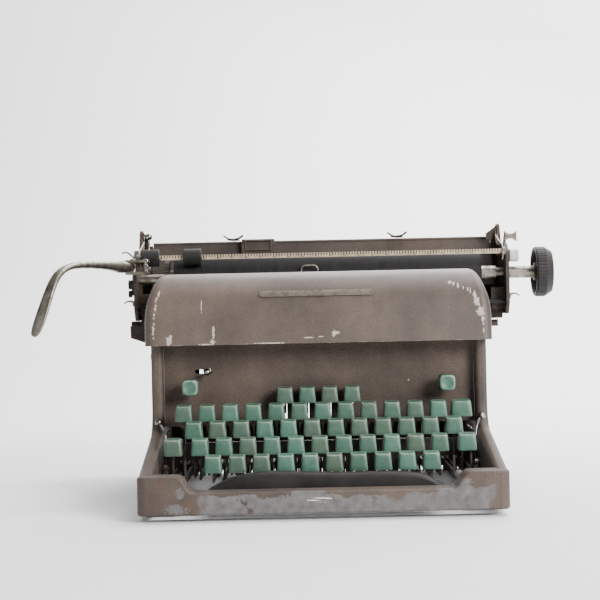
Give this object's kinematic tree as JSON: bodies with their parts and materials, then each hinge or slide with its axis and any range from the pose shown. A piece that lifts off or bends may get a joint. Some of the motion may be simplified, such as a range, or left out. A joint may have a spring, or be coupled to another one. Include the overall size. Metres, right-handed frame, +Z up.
{
  "type": "typewriter",
  "caption": "Upright manual office typewriter with stepped keyboard, hinged hood, sliding carriage, rubber platen, paper bail and a long return lever.",
  "frame": {"origin": "centre of the bounding box on the table plane, under the rubber feet", "axes": "+X to the typist's right along the carriage, +Y from the keyboard to the back, +Z up"},
  "size_m": [0.4504, 0.322, 0.2346],
  "materials": {
    "crinkle_paint": "crinkle enamel, worn",
    "rubber": "matt",
    "nickel": "aged bright plating",
    "dark_steel": "blackened, dusty",
    "steel": "dull",
    "black_plastic": "satin, ribbed",
    "green_plastic": "satin, worn edges",
    "scale_enamel": "satin with engraved marks",
    "white_metal": "satin"
  },
  "bodies": {
    "chassis": {"base_frame": "crinkle_paint", "side_plate_left": "crinkle_paint", "side_plate_right": "crinkle_paint", "front_panel": "crinkle_paint", "rear_panel": "crinkle_paint", "rubber_feet": "rubber", "case_screws": "nickel", "carriage_rails": "dark_steel", "type_segment": "dark_steel", "type_bars": "steel", "type_guide": "steel", "lever_comb": "dark_steel", "fulcrum_rod": "steel"},
    "hood": {"hood": "crinkle_paint", "hood_badge": "nickel"},
    "ribbon_spool_left": {"ribbon_spool_left": "dark_steel"},
    "ribbon_spool_right": {"ribbon_spool_right": "dark_steel"},
    "carriage": {"carriage_bed": "crinkle_paint", "end_plate_left": "dark_steel", "end_plate_right": "dark_steel", "paper_table": "crinkle_paint", "page_clips": "nickel", "margin_rack": "steel", "lever_bracket": "nickel"},
    "platen": {"platen_roller": "rubber", "platen_shaft": "nickel", "platen_knob": "black_plastic", "platen_ratchet": "steel"},
    "feed_rollers": {"feed_rollers": "rubber"},
    "bail": {"bail_scale": "scale_enamel", "bail_arms": "nickel"},
    "bail_roller_left": {"bail_roller_left": "rubber"},
    "bail_roller_right": {"bail_roller_right": "rubber"},
    "return_lever": {"return_lever": "nickel"},
    "paper_guide": {"paper_guide": "crinkle_paint"},
    "carriage_release_left": {"carriage_release_left": "nickel"},
    "carriage_release_right": {"carriage_release_right": "nickel"},
    "paper_release": {"paper_release": "nickel"},
    "spacer_button": {"spacer_button": "white_metal"},
    "ball_lever": {"ball_lever": "nickel"},
    "line_space_selector": {"line_space_selector": "black_plastic"},
    "key_row_1": {"key_caps_row_1": "green_plastic", "key_levers_row_1": "steel"},
    "key_row_2": {"key_caps_row_2": "green_plastic", "key_levers_row_2": "steel"},
    "key_row_3": {"key_caps_row_3": "green_plastic", "key_levers_row_3": "steel"},
    "key_row_4": {"key_caps_row_4": "green_plastic", "key_levers_row_4": "steel"},
    "lock_key": {"lock_key": "green_plastic"},
    "right_key": {"right_key": "green_plastic"},
    "shift_levers": {"shift_levers": "steel"},
    "tab_keys": {"tab_keys": "green_plastic"},
    "space_bar": {"space_bar": "black_plastic", "space_arms": "steel"},
    "margin_key_left": {"margin_key_left": "green_plastic"},
    "margin_key_right": {"margin_key_right": "green_plastic"},
    "ribbon_selector": {"ribbon_selector": "nickel"},
    "touch_lever_left": {"touch_lever_left": "nickel"},
    "touch_lever_right": {"touch_lever_right": "nickel"}
  },
  "joints": [
    {"name": "hood_hinge", "type": "hinge", "parent": "chassis", "child": "hood", "pos_m": [0.00821, -0.0275, 0.1335], "axis": [-1, 0, 0], "range_deg": [-55, 0]},
    {"name": "ribbon_spool_left_spin", "type": "hinge", "parent": "chassis", "child": "ribbon_spool_left", "pos_m": [-0.09179, 0.021, 0.139], "axis": [0, 0, 1], "continuous": true},
    {"name": "ribbon_spool_right_spin", "type": "hinge", "parent": "chassis", "child": "ribbon_spool_right", "pos_m": [0.10821, 0.021, 0.139], "axis": [0, 0, 1], "continuous": true},
    {"name": "carriage_slide", "type": "slide", "parent": "chassis", "child": "carriage", "axis": [1, 0, 0], "range_m": [-0.12, 0.12]},
    {"name": "platen_spin", "type": "hinge", "parent": "carriage", "child": "platen", "pos_m": [0.00821, 0.094, 0.1875], "axis": [1, 0, 0], "continuous": true},
    {"name": "feed_rollers_spin", "type": "hinge", "parent": "carriage", "child": "feed_rollers", "pos_m": [0.00821, 0.0816, 0.1612], "axis": [1, 0, 0], "continuous": true},
    {"name": "bail_lift", "type": "hinge", "parent": "carriage", "child": "bail", "pos_m": [0.00821, 0.115, 0.207], "axis": [1, 0, 0], "range_deg": [-45, 0]},
    {"name": "bail_roller_left_spin", "type": "hinge", "parent": "bail", "child": "bail_roller_left", "pos_m": [0.00821, 0.0713, 0.2065], "axis": [1, 0, 0], "continuous": true},
    {"name": "bail_roller_right_spin", "type": "hinge", "parent": "bail", "child": "bail_roller_right", "pos_m": [0.00821, 0.0713, 0.2065], "axis": [1, 0, 0], "continuous": true},
    {"name": "return_lever_swing", "type": "hinge", "parent": "carriage", "child": "return_lever", "pos_m": [-0.15479, 0.053, 0.198], "axis": [0, 0, 1], "range_deg": [0, 35], "stiffness_Nm_per_rad": 0.6, "springref_deg": -8.59},
    {"name": "paper_guide_slide", "type": "slide", "parent": "carriage", "child": "paper_guide", "axis": [1, 0, 0], "range_m": [0, 0.09]},
    {"name": "carriage_release_left_press", "type": "hinge", "parent": "carriage", "child": "carriage_release_left", "pos_m": [0.00821, 0.105, 0.166], "axis": [1, 0, 0], "range_deg": [0, 10], "stiffness_Nm_per_rad": 0.3, "springref_deg": -8.59},
    {"name": "carriage_release_right_press", "type": "hinge", "parent": "carriage", "child": "carriage_release_right", "pos_m": [0.00821, 0.105, 0.166], "axis": [1, 0, 0], "range_deg": [0, 10], "stiffness_Nm_per_rad": 0.3, "springref_deg": -8.59},
    {"name": "paper_release_pull", "type": "hinge", "parent": "carriage", "child": "paper_release", "pos_m": [0.00821, 0.124, 0.195], "axis": [1, 0, 0], "range_deg": [0, 22]},
    {"name": "spacer_button_press", "type": "slide", "parent": "carriage", "child": "spacer_button", "axis": [1, 0, 0], "range_m": [-0.0012, 0], "stiffness_N_per_m": 400, "springref_m": 0.004},
    {"name": "ball_lever_pull", "type": "hinge", "parent": "carriage", "child": "ball_lever", "pos_m": [0.00821, 0.126, 0.196], "axis": [1, 0, 0], "range_deg": [0, 20], "stiffness_Nm_per_rad": 0.1, "springref_deg": -8.59},
    {"name": "line_space_select", "type": "hinge", "parent": "carriage", "child": "line_space_selector", "pos_m": [0.00821, 0.083, 0.183], "axis": [1, 0, 0], "range_deg": [0, 30]},
    {"name": "key_row_1_press", "type": "hinge", "parent": "chassis", "child": "key_row_1", "pos_m": [0.00821, 0.135, 0.026], "axis": [1, 0, 0], "range_deg": [0, 2.8], "stiffness_Nm_per_rad": 12, "springref_deg": -6.88},
    {"name": "key_row_2_press", "type": "hinge", "parent": "chassis", "child": "key_row_2", "pos_m": [0.00821, 0.135, 0.026], "axis": [1, 0, 0], "range_deg": [0, 2.8], "stiffness_Nm_per_rad": 12, "springref_deg": -6.88},
    {"name": "key_row_3_press", "type": "hinge", "parent": "chassis", "child": "key_row_3", "pos_m": [0.00821, 0.135, 0.026], "axis": [1, 0, 0], "range_deg": [0, 2.8], "stiffness_Nm_per_rad": 12, "springref_deg": -6.88},
    {"name": "key_row_4_press", "type": "hinge", "parent": "chassis", "child": "key_row_4", "pos_m": [0.00821, 0.135, 0.026], "axis": [1, 0, 0], "range_deg": [0, 2.8], "stiffness_Nm_per_rad": 12, "springref_deg": -6.88},
    {"name": "lock_key_press", "type": "hinge", "parent": "chassis", "child": "lock_key", "pos_m": [0.00821, 0.135, 0.026], "axis": [1, 0, 0], "range_deg": [0, 2.4], "stiffness_Nm_per_rad": 3, "springref_deg": -6.88},
    {"name": "right_key_press", "type": "hinge", "parent": "chassis", "child": "right_key", "pos_m": [0.00821, 0.135, 0.026], "axis": [1, 0, 0], "range_deg": [0, 2.8], "stiffness_Nm_per_rad": 3, "springref_deg": -6.88},
    {"name": "shift_press", "type": "hinge", "parent": "chassis", "child": "shift_levers", "pos_m": [0.00821, 0.135, 0.026], "axis": [1, 0, 0], "range_deg": [0, 2.8], "stiffness_Nm_per_rad": 3, "springref_deg": -6.88},
    {"name": "tab_keys_press", "type": "slide", "parent": "chassis", "child": "tab_keys", "axis": [0, 0, 1], "range_m": [-0.006, 0], "stiffness_N_per_m": 300, "springref_m": 0.006},
    {"name": "space_bar_press", "type": "hinge", "parent": "chassis", "child": "space_bar", "pos_m": [0.00821, 0.135, 0.026], "axis": [1, 0, 0], "range_deg": [0, 1.6], "stiffness_Nm_per_rad": 8, "springref_deg": -6.88},
    {"name": "margin_key_left_press", "type": "slide", "parent": "chassis", "child": "margin_key_left", "axis": [0, 1, 0], "range_m": [0, 0.007], "stiffness_N_per_m": 200, "springref_m": -0.004},
    {"name": "margin_key_right_press", "type": "slide", "parent": "chassis", "child": "margin_key_right", "axis": [0, 1, 0], "range_m": [0, 0.007], "stiffness_N_per_m": 200, "springref_m": -0.004},
    {"name": "ribbon_select", "type": "hinge", "parent": "chassis", "child": "ribbon_selector", "pos_m": [-0.08579, 0.014, 0.107], "axis": [0, 0, 1], "range_deg": [-12, 0]},
    {"name": "touch_lever_left_swing", "type": "hinge", "parent": "chassis", "child": "touch_lever_left", "pos_m": [0.00821, -0.049, 0.028], "axis": [1, 0, 0], "range_deg": [0, 12]},
    {"name": "touch_lever_right_swing", "type": "hinge", "parent": "chassis", "child": "touch_lever_right", "pos_m": [0.00821, -0.049, 0.028], "axis": [1, 0, 0], "range_deg": [0, 12]}
  ],
  "couplings": [
    {"joint": "feed_rollers_spin", "follows": "platen_spin", "ratio": -3.0714}
  ]
}
